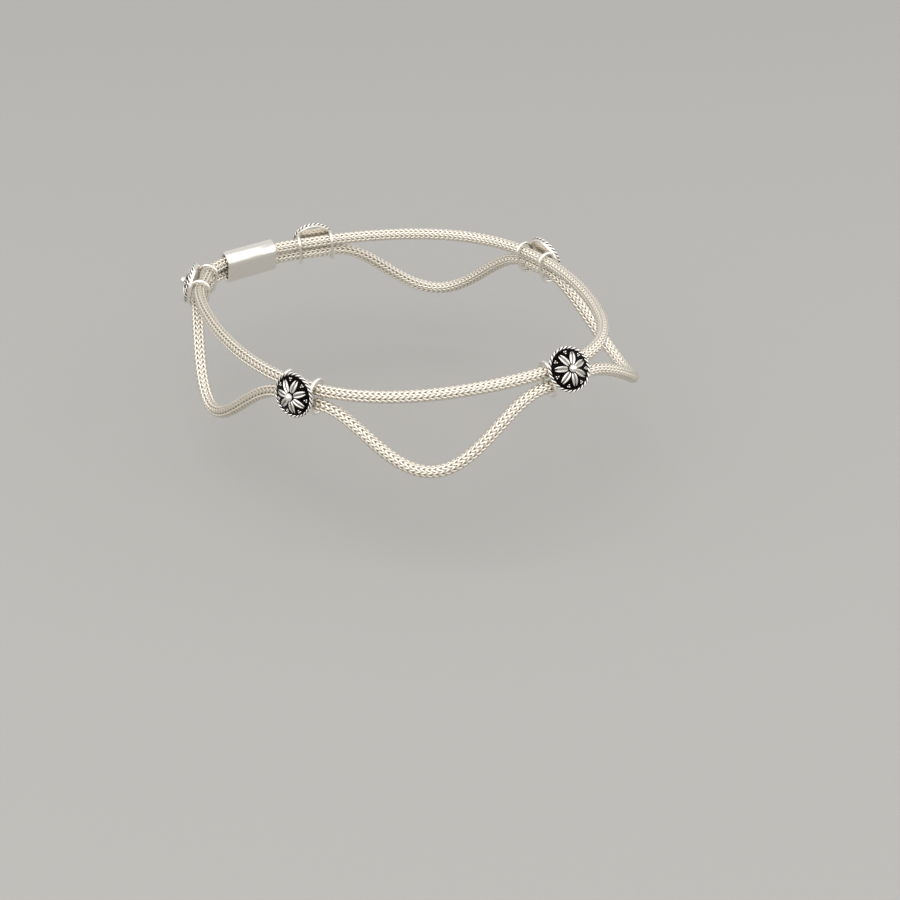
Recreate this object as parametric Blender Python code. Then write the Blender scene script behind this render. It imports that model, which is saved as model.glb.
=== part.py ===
"""Double-strand silver anklet, in metres, +Z up the leg.

Two round knitted chains run round the ankle. The upper one lies close to the leg. The lower one
hangs in swags between five rosette medallions. Both chains pass through the two wire loops behind
each medallion, and their four ends are cemented into one plain clasp at the back.

The origin is the middle of the ankle's opening at the upper chain's level. The front of the ankle
is at -Y. A place along the loop is the length of chain from the front of the ankle, towards -X.
"""

import math
from typing import NamedTuple

import bmesh
import bpy
from mathutils import Matrix, Vector

MM = 0.001


class Seat(NamedTuple):
    """How a medallion's disc sits on its wire loops."""

    petal_deg: float  # direction of the first petal, from the medallion's right
    rise: float  # how far up it is soldered, as a share of its diameter
    tilt_deg: float  # how far its top leans back towards the leg


class BarStation(NamedTuple):
    """A section of a petal's bar: its place along the bar, and its width and height, as shares."""

    along: float
    width: float
    height: float


# Loop of the upper chain, along its centreline
LOOP_LENGTH_FRONT_TO_BACK = 85.5 * MM
LOOP_WIDTH = 65.4 * MM
FRONT_RISE = 3.1 * MM
SIDE_FLATNESS = 0.065
TIP_FULLNESS = 0.012
WIDEST_FORWARD = 0.031

# Leg below the loop: how far it widens for each millimetre down
LEG_SLOPE = 0.23
INSTEP_SLOPE = 0.38

# Chains
CHAIN_DIAMETER = 2.46 * MM
CHAIN_SPACE = 0.35 * MM
SWAG_DEPTH = 12.5 * MM
SWAG_SHARES = (1.0, 0.93, 1.13, 1.0)
POINT_SPACING = 4.7 * MM
FEWEST_SIDES = 2
CHAIN_BEVEL_RESOLUTION = 2

# Places along the loop
MIDDLE_MEDALLION_FROM_FRONT = 10.2 * MM
CLASP_TO_MEDALLION = 14.55 * MM
STRAIGHT_PAST_LOOP = 0.4 * MM

# Medallion: a domed disc with a rope rim
MEDALLION_DIAMETER = 8.7 * MM
MEDALLION_SEATS = (
    Seat(petal_deg=25.0, rise=0.045, tilt_deg=0.0),
    Seat(petal_deg=23.0, rise=0.0, tilt_deg=0.0),
    Seat(petal_deg=10.0, rise=0.045, tilt_deg=9.0),
    Seat(petal_deg=47.0, rise=0.0, tilt_deg=0.0),
    Seat(petal_deg=5.0, rise=0.0, tilt_deg=0.0),
)
BACK_CLEARANCE = 0.6 * MM
WALL_HEIGHT = 0.8 * MM
DOME_RISE = 1.0 * MM
DOME_BANDS = 3
DISC_SEGMENTS = 28

# Rope rim
ROPE_WIRE = 0.62 * MM
ROPE_NUBS = 28
ROPE_SIDES = 5
ROPE_TWIST_DEPTH = 0.16
STEPS_PER_NUB = 2

# Rosette: seven double-ridged petals round a ball
PETAL_COUNT = 7
PETAL_START = 0.98 * MM
PETAL_LENGTH = 2.3 * MM
PETAL_WIDTH = 1.3 * MM
PETAL_HEIGHT = 0.34 * MM
PETAL_ROOT = 0.25 * MM
PETAL_GROOVE = 0.14 * MM
BAR_STATIONS = (
    BarStation(along=0.0, width=0.55, height=0.55),
    BarStation(along=0.3, width=0.85, height=0.95),
    BarStation(along=0.72, width=1.0, height=1.0),
    BarStation(along=1.0, width=0.6, height=0.4),
)
BAR_CREST = (0.3, 0.7)
BALL_DIAMETER = 1.5 * MM
BALL_ABOVE_ROPE = 1.5 * MM
BALL_SEGMENTS = 10
BALL_RINGS = 6

# Wire loops behind the medallion
LOOP_WIRE = 0.66 * MM
LOOP_SPREAD = 6.8 * MM
LOOP_CLEARANCE = 0.3 * MM
LOOP_ARC_STEPS = 6
LOOP_SIDES = 5

# Clasp
CLASP_LENGTH = 11.0 * MM
CLASP_WALL = 0.7 * MM
CLASP_EDGE = 0.5 * MM
MOST_EDGE_SHARE = 0.8
SOCKET_DEPTH = 2.0 * MM
SOCKET_CLEARANCE = 0.3 * MM
CLASP_ARC_STEPS = 6

CHAIN_RADIUS = CHAIN_DIAMETER / 2
CHAIN_DROP = CHAIN_DIAMETER + CHAIN_SPACE
STRAIGHT_HALF = LOOP_SPREAD / 2 + LOOP_WIRE / 2 + STRAIGHT_PAST_LOOP
CLASP_HALF = CLASP_LENGTH / 2
CHAIN_END = CLASP_HALF - SOCKET_DEPTH + SOCKET_CLEARANCE
ROPE_RADIUS = (MEDALLION_DIAMETER - ROPE_WIRE) / 2
DISC_BACK = CHAIN_RADIUS + BACK_CLEARANCE
ROPE_LEVEL = DISC_BACK + WALL_HEIGHT
OVAL_STEPS = 1440
MERGE_DISTANCE = 0.001 * MM
SHARP_ANGLE = math.radians(40)


def clear_scene():
    for obj in list(bpy.data.objects):
        bpy.data.objects.remove(obj, do_unlink=True)


def metal(name, colour, roughness):
    material = bpy.data.materials.new(name)
    material.use_nodes = True
    shader = material.node_tree.nodes["Principled BSDF"]
    shader.inputs["Base Color"].default_value = (*colour, 1.0)
    shader.inputs["Metallic"].default_value = 1.0
    shader.inputs["Roughness"].default_value = roughness
    return material


def oval_point(angle):
    """Point of the loop at an angle from the front of the ankle, towards -X."""
    half_length = LOOP_LENGTH_FRONT_TO_BACK / 2
    half_width = LOOP_WIDTH / 2
    across = (1 - SIDE_FLATNESS) * math.sin(angle) - SIDE_FLATNESS * math.sin(3 * angle)
    along = (1 - TIP_FULLNESS) * math.cos(angle) + TIP_FULLNESS * math.cos(3 * angle)
    forward = WIDEST_FORWARD * (1 - math.cos(2 * angle))
    return Vector((-half_width * across, -half_length * (along + forward), FRONT_RISE * math.cos(angle)))


class Loop:
    """The upper chain's centreline, read by length of chain from the front."""

    def __init__(self):
        self.points = [oval_point(math.tau * step / OVAL_STEPS) for step in range(OVAL_STEPS + 1)]
        self.reach = [0.0]
        for start, end in zip(self.points, self.points[1:]):
            self.reach.append(self.reach[-1] + (end - start).length)
        self.length = self.reach[-1]

    def point(self, place):
        place %= self.length
        low, high = 0, OVAL_STEPS
        while high - low > 1:
            middle = (low + high) // 2
            if self.reach[middle] <= place:
                low = middle
            else:
                high = middle
        share = (place - self.reach[low]) / (self.reach[high] - self.reach[low])
        return self.points[low].lerp(self.points[high], share)

    def outward(self, place):
        """Level direction that points away from the leg."""
        run = self.point(place + CHAIN_RADIUS) - self.point(place - CHAIN_RADIUS)
        return Vector((-run.y, run.x, 0)).normalized()

    def down(self, place):
        """Direction down the leg's surface, which widens most over the instep."""
        outward = self.outward(place)
        slope = LEG_SLOPE + INSTEP_SLOPE * max(0.0, -outward.y) ** 2
        return (outward * slope - Vector((0, 0, 1))).normalized()

    def chain_point(self, place, depth):
        return self.point(place) + self.down(place) * depth

    def frame(self, place, half):
        """Matrix at a straight stretch of both chains: X right, Y up and Z out, seen from outside."""
        start = self.point(place - half)
        end = self.point(place + half)
        right = (start - end).normalized()
        up = -self.down(place)
        up = (up - right * up.dot(right)).normalized()
        out = right.cross(up)
        centre = (start + end) / 2 - up * (CHAIN_DROP / 2)
        return Matrix.LocRotScale(centre, Matrix((right, up, out)).transposed(), None)


def clasp_place(loop):
    return MIDDLE_MEDALLION_FROM_FRONT + loop.length / 2


def medallion_places(loop):
    """Places of the medallions, from the clasp round to it again."""
    first = clasp_place(loop) - CLASP_TO_MEDALLION
    pitch = (loop.length - 2 * CLASP_TO_MEDALLION) / (len(MEDALLION_SEATS) - 1)
    return [first - pitch * number for number in range(len(MEDALLION_SEATS))]


def span_points(start, end, swag):
    """Places and depths from one place to another, both included, with a swag of the given depth."""
    run = abs(end - start)
    chain_length = run + (math.pi * swag) ** 2 / (4 * run)
    sides = max(FEWEST_SIDES, round(chain_length / POINT_SPACING))
    points = []
    for side in range(sides + 1):
        share = side / sides
        depth = swag * (1 - math.cos(math.tau * share)) / 2
        points.append((start + (end - start) * share, depth))
    return points


def chain_route(loop, drop, swag_depth):
    """Centreline points of one chain, from one clasp socket round the ankle to the other."""
    clasp = clasp_place(loop)
    places = medallion_places(loop)
    stops = [(clasp, CLASP_HALF)] + [(place, STRAIGHT_HALF) for place in places]
    stops.append((clasp - loop.length, CLASP_HALF))
    swags = [0.0] + [swag_depth * share for share in SWAG_SHARES] + [0.0]
    stations = []
    for (here, half_here), (there, half_there), swag in zip(stops, stops[1:], swags):
        stations += span_points(here - half_here, there + half_there, swag)
    points = [loop.chain_point(place, drop + depth) for place, depth in stations]
    frame = loop.frame(clasp, CLASP_HALF)
    height = CHAIN_DROP / 2 - drop
    first = frame @ Vector((CHAIN_END, height, 0))
    last = frame @ Vector((-CHAIN_END, height, 0))
    return [first] + points + [last]


def make_chain(name, points, material):
    """A plain round tube along the chain's centreline."""
    curve = bpy.data.curves.new(name, "CURVE")
    curve.dimensions = "3D"
    curve.bevel_depth = CHAIN_RADIUS
    curve.bevel_resolution = CHAIN_BEVEL_RESOLUTION
    curve.use_fill_caps = True
    spline = curve.splines.new("POLY")
    spline.points.add(len(points) - 1)
    for target, point in zip(spline.points, points):
        target.co = (*point, 1.0)
    curve.materials.append(material)
    obj = bpy.data.objects.new(name, curve)
    bpy.context.collection.objects.link(obj)
    return obj


def mesh_object(name, shape, material=None):
    """Turns a bmesh into an object with its faces pointing out."""
    bmesh.ops.recalc_face_normals(shape, faces=shape.faces)
    mesh = bpy.data.meshes.new(name)
    shape.to_mesh(mesh)
    shape.free()
    if material:
        mesh.materials.append(material)
    obj = bpy.data.objects.new(name, mesh)
    bpy.context.collection.objects.link(obj)
    return obj


def make_helper(obj):
    obj.hide_render = True
    obj.display_type = "WIRE"
    return obj


def skin_sections(shape, sections, closed):
    """Joins sections of equal point count into a tube, capped unless it closes on itself."""
    rows = [[shape.verts.new(point) for point in section] for section in sections]
    sides = len(rows[0])
    pairs = list(zip(rows, rows[1:]))
    if closed:
        pairs.append((rows[-1], rows[0]))
    for row, following in pairs:
        for side in range(sides):
            beside = (side + 1) % sides
            shape.faces.new((row[side], row[beside], following[beside], following[side]))
    if not closed:
        shape.faces.new(rows[0])
        shape.faces.new(rows[-1])


def dome_height(radius):
    return ROPE_LEVEL + DOME_RISE * (1 - (radius / ROPE_RADIUS) ** 2)


def disc_shape():
    """Back plate, wall and dome, spun about the Z axis."""
    profile = [(0.0, DISC_BACK), (ROPE_RADIUS, DISC_BACK)]
    for band in range(DOME_BANDS + 1):
        radius = ROPE_RADIUS * (1 - band / DOME_BANDS)
        profile.append((radius, dome_height(radius)))
    shape = bmesh.new()
    corners = [shape.verts.new((radius, 0, height)) for radius, height in profile]
    edges = [shape.edges.new(pair) for pair in zip(corners, corners[1:])]
    bmesh.ops.spin(
        shape, geom=corners + edges, cent=(0, 0, 0), axis=(0, 0, 1), angle=math.tau, steps=DISC_SEGMENTS
    )
    bmesh.ops.remove_doubles(shape, verts=shape.verts, dist=MERGE_DISTANCE)
    between_nubs = Matrix.Rotation(math.pi / 2 / DISC_SEGMENTS, 4, "Z")
    bmesh.ops.transform(shape, matrix=between_nubs, verts=shape.verts)
    return shape


def rope_shape():
    """Twisted wire round the disc's edge: each nub is a slanted swelling."""
    steps = ROPE_NUBS * STEPS_PER_NUB
    sections = []
    for step in range(steps):
        turn = math.tau * step / steps
        section = []
        for side in range(ROPE_SIDES):
            angle = math.tau * side / ROPE_SIDES
            swell = 1 - ROPE_TWIST_DEPTH / 2 * (1 - math.cos(ROPE_NUBS * turn - angle))
            radius = ROPE_RADIUS + ROPE_WIRE / 2 * swell * math.cos(angle)
            height = ROPE_LEVEL + ROPE_WIRE / 2 * swell * math.sin(angle)
            section.append((radius * math.cos(turn), radius * math.sin(turn), height))
        sections.append(section)
    shape = bmesh.new()
    skin_sections(shape, sections, closed=True)
    return shape


def petals_shape():
    """Each petal is two bars, side by side, that lie on the dome. The first points along X."""
    shape = bmesh.new()
    bar_width = (PETAL_WIDTH - PETAL_GROOVE) / 2
    for petal in range(PETAL_COUNT):
        turn = Matrix.Rotation(math.tau * petal / PETAL_COUNT, 4, "Z")
        for side in (-1, 1):
            sections = []
            for station in BAR_STATIONS:
                along = PETAL_START + PETAL_LENGTH * station.along
                inner = PETAL_GROOVE / 2
                width = bar_width * station.width
                root = dome_height(along) - PETAL_ROOT
                crest = dome_height(along) + PETAL_HEIGHT * station.height
                section = [(along, side * inner, root)]
                section += [(along, side * (inner + width * share), crest) for share in BAR_CREST]
                section.append((along, side * (inner + width), root))
                sections.append([turn @ Vector(point) for point in section])
            skin_sections(shape, sections, closed=False)
    return shape


def ball_shape():
    shape = bmesh.new()
    bmesh.ops.create_uvsphere(
        shape, u_segments=BALL_SEGMENTS, v_segments=BALL_RINGS, radius=BALL_DIAMETER / 2
    )
    bmesh.ops.translate(shape, verts=shape.verts, vec=(0, 0, ROPE_LEVEL + BALL_ABOVE_ROPE))
    return shape


def round_both(steps):
    """Outline round the two chains, as (centre, direction) pairs: two half circles and two straights."""
    outline = []
    for half in (1, -1):
        for step in range(steps + 1):
            angle = math.pi * step / steps - half * math.pi / 2
            centre = Vector((0, half * CHAIN_DROP / 2, 0))
            outline.append((centre, Vector((0, math.cos(angle), math.sin(angle)))))
    return outline


def loops_shape():
    """Two upright wire loops with straight sides, one at each edge of the disc's back."""
    shape = bmesh.new()
    bend = CHAIN_RADIUS + LOOP_CLEARANCE + LOOP_WIRE / 2
    for side in (-1, 1):
        sections = []
        for centre, outward in round_both(LOOP_ARC_STEPS):
            section = []
            for corner in range(LOOP_SIDES):
                angle = math.tau * corner / LOOP_SIDES
                swing = outward * (bend + LOOP_WIRE / 2 * math.cos(angle))
                across = Vector((side * LOOP_SPREAD / 2 + LOOP_WIRE / 2 * math.sin(angle), 0, 0))
                section.append(centre + swing + across)
            sections.append(section)
        skin_sections(shape, sections, closed=True)
    return shape


def make_medallion(name, frame, seat, material):
    """The disc, rope, petals, ball and wire loops, soldered into one body."""
    rosette = [disc_shape(), rope_shape(), petals_shape(), ball_shape()]
    lift = Matrix.Translation((0, seat.rise * MEDALLION_DIAMETER, 0))
    tilt = Matrix.Rotation(math.radians(-seat.tilt_deg), 4, "X")
    turn = Matrix.Rotation(math.radians(seat.petal_deg), 4, "Z")
    for shape in rosette:
        bmesh.ops.transform(shape, matrix=lift @ tilt @ turn, verts=shape.verts)
    disc, *parts = rosette + [loops_shape()]
    medallion = mesh_object(name, disc, material)
    medallion.matrix_world = frame
    for number, shape in enumerate(parts):
        part = make_helper(mesh_object(f"{name}_solder_{number}", shape, material))
        part.matrix_world = frame
        union = medallion.modifiers.new(f"solder_{number}", "BOOLEAN")
        union.operation = "UNION"
        union.object = part
    medallion.data.shade_smooth()
    medallion.data.set_sharp_from_angle(angle=SHARP_ANGLE)


def make_medallions(loop, material):
    for number, (place, seat) in enumerate(zip(medallion_places(loop), MEDALLION_SEATS), start=1):
        make_medallion(f"medallion_{number}", loop.frame(place, STRAIGHT_HALF), seat, material)


def bar_round_both(shape, radius, start, end):
    """A bar along X whose section lies the given radius round the two chains."""
    ends = []
    for across in (start, end):
        outline = round_both(CLASP_ARC_STEPS)
        ends.append([centre + outward * radius + Vector((across, 0, 0)) for centre, outward in outline])
    skin_sections(shape, ends, closed=False)


def make_clasp(loop, material):
    """A plain bar with a blind pocket in each end, where both chains are cemented in."""
    pocket_radius = CHAIN_RADIUS + SOCKET_CLEARANCE
    shape = bmesh.new()
    bar_round_both(shape, pocket_radius + CLASP_WALL, -CLASP_HALF, CLASP_HALF)
    clasp = mesh_object("clasp", shape, material)
    rounding = clasp.modifiers.new("rounded_ends", "BEVEL")
    rounding.width = min(CLASP_EDGE, CLASP_WALL * MOST_EDGE_SHARE)
    rounding.segments = 2
    rounding.limit_method = "ANGLE"
    rounding.angle_limit = SHARP_ANGLE
    pockets = bmesh.new()
    for side in (-1, 1):
        bottom = side * (CLASP_HALF - SOCKET_DEPTH)
        bar_round_both(pockets, pocket_radius, bottom, side * (CLASP_HALF + SOCKET_DEPTH))
    cutter = make_helper(mesh_object("clasp_pockets", pockets))
    cut = clasp.modifiers.new("pockets", "BOOLEAN")
    cut.operation = "DIFFERENCE"
    cut.object = cutter
    frame = loop.frame(clasp_place(loop), CLASP_HALF)
    clasp.matrix_world = frame
    cutter.matrix_world = frame
    clasp.data.shade_smooth()
    clasp.data.set_sharp_from_angle(angle=SHARP_ANGLE)


def main():
    clear_scene()
    loop = Loop()
    knitted_silver = metal("knitted_silver", (0.87, 0.85, 0.81), 0.3)
    cast_silver = metal("cast_silver", (0.62, 0.61, 0.59), 0.25)
    plain_silver = metal("plain_silver", (0.86, 0.85, 0.82), 0.2)
    make_chain("upper_chain", chain_route(loop, 0.0, 0.0), knitted_silver)
    make_chain("lower_chain", chain_route(loop, CHAIN_DROP, SWAG_DEPTH), knitted_silver)
    make_medallions(loop, cast_silver)
    make_clasp(loop, plain_silver)


main()
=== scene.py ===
"""Dressed model of a double-strand silver anklet, in metres, +Z up the leg.

Two round knitted chains run round the ankle. The lower one hangs in swags between five rosette
medallions, and both end in one plain clasp. The solids' frame says where each piece lies. This
script gives each its finished form: chains of knitted stitches, medallions with a twisted rope rim
and double-barred petals on a blackened ground, and a smooth clasp.
"""

import logging
import math
from dataclasses import dataclass, field
from enum import Enum

import bpy
import numpy as np
from mathutils import Matrix, Vector


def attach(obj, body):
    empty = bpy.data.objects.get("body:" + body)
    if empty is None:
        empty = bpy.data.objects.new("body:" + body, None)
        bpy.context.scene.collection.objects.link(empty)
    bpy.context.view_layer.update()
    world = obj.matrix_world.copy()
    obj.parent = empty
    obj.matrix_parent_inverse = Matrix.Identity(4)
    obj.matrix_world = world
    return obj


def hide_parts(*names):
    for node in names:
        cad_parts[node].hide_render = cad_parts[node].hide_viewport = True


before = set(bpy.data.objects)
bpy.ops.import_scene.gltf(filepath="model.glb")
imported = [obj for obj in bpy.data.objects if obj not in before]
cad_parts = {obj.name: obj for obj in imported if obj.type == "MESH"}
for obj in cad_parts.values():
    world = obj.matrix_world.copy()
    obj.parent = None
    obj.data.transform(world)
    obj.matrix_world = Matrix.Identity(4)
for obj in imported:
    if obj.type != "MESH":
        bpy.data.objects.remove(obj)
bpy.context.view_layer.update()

LOG = logging.getLogger("anklet")
MM = 0.001
BODY = "root"
CREST = "crest"
SHARP_ANGLE = math.radians(40)

Socket = bpy.types.NodeSocket
Outputs = bpy.types.NodeOutputs
Material = bpy.types.Material


def linear(hex_colour: str) -> tuple[float, float, float, float]:
    """Turns an sRGB hex colour to linear light, by the standard's own curve.

    Args:
        hex_colour: Six hex digits after a hash, such as "#F4F1EA".

    Returns:
        Red, green, blue and an alpha of 1.
    """
    channels = [int(hex_colour[place:place + 2], 16) / 255 for place in (1, 3, 5)]
    light = [c / 12.92 if c <= 0.04045 else ((c + 0.055) / 1.055) ** 2.4 for c in channels]
    return (*light, 1.0)


class NodeTree:
    """A tree of nodes, filled node by node."""

    def __init__(self, tree: bpy.types.NodeTree) -> None:
        """Takes the shader or geometry tree to fill."""
        self.tree = tree

    def add(self, kind: str, links: dict | None = None, **settings) -> Outputs:
        """Adds one node.

        Args:
            kind: Blender's name of the node's type.
            links: For each input, by name or number, a value, the output that feeds it or a list of those.
            **settings: The node's own properties.

        Returns:
            The new node's outputs.
        """
        node = self.tree.nodes.new(kind)
        for name, value in settings.items():
            setattr(node, name, value)
        for key, value in (links or {}).items():
            for source in value if isinstance(value, list) else [value]:
                if isinstance(source, Socket):
                    self.tree.links.new(source, node.inputs[key])
                else:
                    node.inputs[key].default_value = source
        return node.outputs


@dataclass(frozen=True)
class Tone:
    """A colour of a finish, and where it lies on the value that the finish reads."""

    place: float  # from 0 to 1
    colour: str  # sRGB, in hex


@dataclass(frozen=True)
class Marks:
    """Spots or lines of a finish; the finest are drawn coarser than real ones, so that they show."""

    spacing: float  # metres
    strength: float = 0.0  # share of the depth that shows
    depth: float = 0.01 * MM
    detail: float = 2.0  # how many finer layers they have
    stretch: tuple[float, float, float] = (1, 1, 1)  # how many times finer they are along each axis


class MaterialTree(NodeTree):
    """A node material with its Principled shader, ready to be dressed."""

    def __init__(self, name: str, **shader_values) -> None:
        """Makes the material.

        Args:
            name: The finish, as a maker calls it.
            **shader_values: Values for the shader's sockets, with _ for a space in a socket's name.
        """
        self.material = bpy.data.materials.new(name)
        self.material.use_nodes = True
        super().__init__(self.material.node_tree)
        self.shader = self.tree.nodes["Principled BSDF"]
        for socket, value in shader_values.items():
            self.shader.inputs[socket.replace("_", " ")].default_value = value

    def feed(self, socket: str, source: Socket) -> None:
        """Links a node's output to one of the shader's sockets."""
        self.tree.links.new(source, self.shader.inputs[socket])

    def pattern(self, marks: Marks) -> Socket:
        """Makes the marks' pattern, on the piece's own coordinates.

        Args:
            marks: The spots or lines.

        Returns:
            The pattern's value, 0 to 1 with a mean of about 0.5.
        """
        place = self.add("ShaderNodeTexCoord")["Object"]
        spread = self.add("ShaderNodeMapping", {"Vector": place, "Scale": marks.stretch})[0]
        links = {"Vector": spread, "Scale": 1 / marks.spacing, "Detail": marks.detail}
        return self.add("ShaderNodeTexNoise", links)["Fac"]

    def crest(self) -> Socket:
        """The piece's own measure of how far a point stands out of the hollows, 0 to 1."""
        return self.add("ShaderNodeAttribute", attribute_name=CREST)["Fac"]

    def colour_by(self, value: Socket, tones: tuple[Tone, ...]) -> None:
        """Colours the surface by a value.

        Args:
            value: What is read, from 0 to 1.
            tones: The colours and their places, lowest first.
        """
        colour = self.add("ShaderNodeValToRGB", {"Fac": value})["Color"]
        elements = colour.node.color_ramp.elements
        while len(elements) < len(tones):
            elements.new(1.0)
        for element, tone in zip(elements, tones):
            element.position = tone.place
            element.color = linear(tone.colour)
        self.feed("Base Color", colour)

    def roughen_by(self, value: Socket, low: float, high: float) -> None:
        """Maps a value of 0 to 1 on to a roughness of low to high."""
        links = {"Value": value, "To Min": low, "To Max": high}
        self.feed("Roughness", self.add("ShaderNodeMapRange", links)[0])

    def emboss(self, pattern: Socket, marks: Marks) -> None:
        """Gives the surface the marks' fine relief."""
        links = {"Height": pattern, "Distance": marks.depth, "Strength": marks.strength}
        self.feed("Normal", self.add("ShaderNodeBump", links)["Normal"])


@dataclass(frozen=True)
class WornSilver:
    """Silver burnished by wear: bright where it stands out, dark and dull in each hollow."""

    name: str
    tones: tuple[Tone, ...]
    roughness: tuple[float, float]  # in the hollows and on the crests
    marks: Marks

    def make(self) -> Material:
        """Makes the material, which reads the piece's crest.

        Returns:
            The material.
        """
        dress = MaterialTree(self.name, Metallic=1.0)
        crest = dress.crest()
        dress.colour_by(crest, self.tones)
        dress.roughen_by(crest, *self.roughness)
        dress.emboss(dress.pattern(self.marks), self.marks)
        return dress.material


# Drawn silver wire, knitted and pulled through a plate: bright ridges, warm tarnish between.
KNITTED_SILVER = WornSilver(
    "drawn_silver_wire",
    (Tone(0.0, "#A99E87"), Tone(0.45, "#E4DCCE"), Tone(0.8, "#F4EFE6")),
    roughness=(0.5, 0.24),
    marks=Marks(0.12 * MM, 0.25),
)
# Raised cast silver, rubbed bright after blackening: black stays in each root and slit.
BURNISHED_RELIEF = WornSilver(
    "burnished_cast_silver",
    (Tone(0.22, "#080707"), Tone(0.42, "#B9B4AC"), Tone(0.62, "#F7F4EE")),
    roughness=(0.45, 0.16),
    marks=Marks(0.2 * MM, 0.3),
)


@dataclass(frozen=True)
class BlackenedSilver:
    """Cast silver dipped in sulphide: a soft black skin with a faint brown cloud."""

    tones: tuple[Tone, ...] = (Tone(0.35, "#060505"), Tone(0.7, "#171412"))
    roughness: float = 0.42
    cloud: Marks = Marks(0.8 * MM, detail=4.0)
    grain: Marks = Marks(0.16 * MM, 0.5, depth=0.03 * MM)

    def make(self) -> Material:
        """Makes the material; the cast skin's grain keeps its glints broken.

        Returns:
            The material.
        """
        dress = MaterialTree("blackened_cast_silver", Metallic=1.0, Roughness=self.roughness)
        dress.colour_by(dress.pattern(self.cloud), self.tones)
        dress.emboss(dress.pattern(self.grain), self.grain)
        return dress.material


@dataclass(frozen=True)
class PlainSilver:
    """Rolled silver, filed and polished by hand: bright, with fine brushed lines."""

    tones: tuple[Tone, ...] = (Tone(0.0, "#5D5345"), Tone(0.5, "#CFC8BC"), Tone(0.85, "#F3EFE8"))
    roughness: tuple[float, float] = (0.15, 0.32)
    lines: Marks = Marks(0.09 * MM, 0.2, detail=1.0, stretch=(0.08, 1, 1))

    def make(self) -> Material:
        """Makes the material; its lines run along X, as the clasp does.

        Returns:
            The material.
        """
        dress = MaterialTree("polished_plain_silver", Metallic=1.0)
        dress.colour_by(dress.crest(), self.tones)
        lines = dress.pattern(self.lines)
        dress.roughen_by(lines, *self.roughness)
        dress.emboss(lines, self.lines)
        return dress.material


class Finish(Enum):
    """The finishes of a piece, in the order of its material slots."""

    GROUND = 0
    RELIEF = 1
    PLAIN = 2


class Strand(Enum):
    """The two chains, named as their solids are."""

    UPPER = "upper_chain"
    LOWER = "lower_chain"


@dataclass
class Shape:
    """Points and faces, with how far each point stands out of the hollows."""

    points: np.ndarray
    faces: list[tuple[int, ...]]
    crest: np.ndarray
    finish: Finish

    def moved(self, matrix: Matrix) -> "Shape":
        """Places this shape.

        Args:
            matrix: Its new place.

        Returns:
            A copy in that place.
        """
        turn = np.array(matrix.to_3x3())
        points = self.points @ turn.T + np.array(matrix.translation)
        return Shape(points, self.faces, self.crest, self.finish)

    @staticmethod
    def loft(rings: np.ndarray, closed: bool, crest: np.ndarray, finish: Finish) -> "Shape":
        """Joins rings of points, each in the same direction, into a closed surface.

        Args:
            rings: Rows of points, all rings alike in count.
            closed: True if the last ring joins the first; otherwise both ends are capped.
            crest: A value for each point, each ring or each place round a ring.
            finish: What the surface is finished with.

        Returns:
            The shape, with its faces outwards if the rings run anticlockwise round their path.
        """
        count, sides = rings.shape[:2]
        faces = []
        for ring in range(count if closed else count - 1):
            here = ring * sides
            there = (ring + 1) % count * sides
            for side in range(sides):
                beside = (side + 1) % sides
                faces.append((here + side, here + beside, there + beside, there + side))
        if not closed:
            last = (count - 1) * sides
            faces.append(tuple(reversed(range(sides))))
            faces.append(tuple(range(last, last + sides)))
        return Shape(rings.reshape(-1, 3), faces, np.broadcast_to(crest, (count, sides)).ravel(), finish)

    @staticmethod
    def turned(profile: list[tuple[float, float, float]], segments: int, finish: Finish) -> "Shape":
        """Turns a profile about the Z axis; its ends are closed where they meet the axis.

        Args:
            profile: Radius, height and crest of each point, from the bottom of the axis to its top.
            segments: How many times the profile is repeated round the axis.
            finish: What the surface is finished with.

        Returns:
            The turned shape.
        """
        angles = np.arange(segments) * math.tau / segments
        inner = np.array(profile[1:-1])
        radius, height, crest = (inner[:, [part]] for part in range(3))
        sides = np.broadcast_arrays(radius * np.cos(angles), radius * np.sin(angles), height)
        shape = Shape.loft(np.stack(sides, axis=2), False, crest, finish)
        del shape.faces[-2:]
        bottom, top = len(shape.points), len(shape.points) + 1
        last = (len(inner) - 1) * segments
        for segment in range(segments):
            beside = (segment + 1) % segments
            shape.faces.append((bottom, beside, segment))
            shape.faces.append((last + segment, last + beside, top))
        ends = [(0.0, 0.0, profile[0][1]), (0.0, 0.0, profile[-1][1])]
        shape.points = np.vstack([shape.points, ends])
        shape.crest = np.append(shape.crest, [profile[0][2], profile[-1][2]])
        return shape

    @staticmethod
    def of_mesh(mesh: bpy.types.Mesh, finish: Finish) -> "Shape":
        """Reads a plain mesh back, with its crest where it has one.

        Args:
            mesh: What is read.
            finish: What it is finished with.

        Returns:
            The mesh as a shape.
        """
        points = np.zeros(len(mesh.vertices) * 3)
        mesh.vertices.foreach_get("co", points)
        crest = np.ones(len(mesh.vertices))
        if CREST in mesh.attributes:
            mesh.attributes[CREST].data.foreach_get("value", crest)
        faces = [tuple(polygon.vertices) for polygon in mesh.polygons]
        return Shape(points.reshape(-1, 3), faces, crest, finish)


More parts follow.
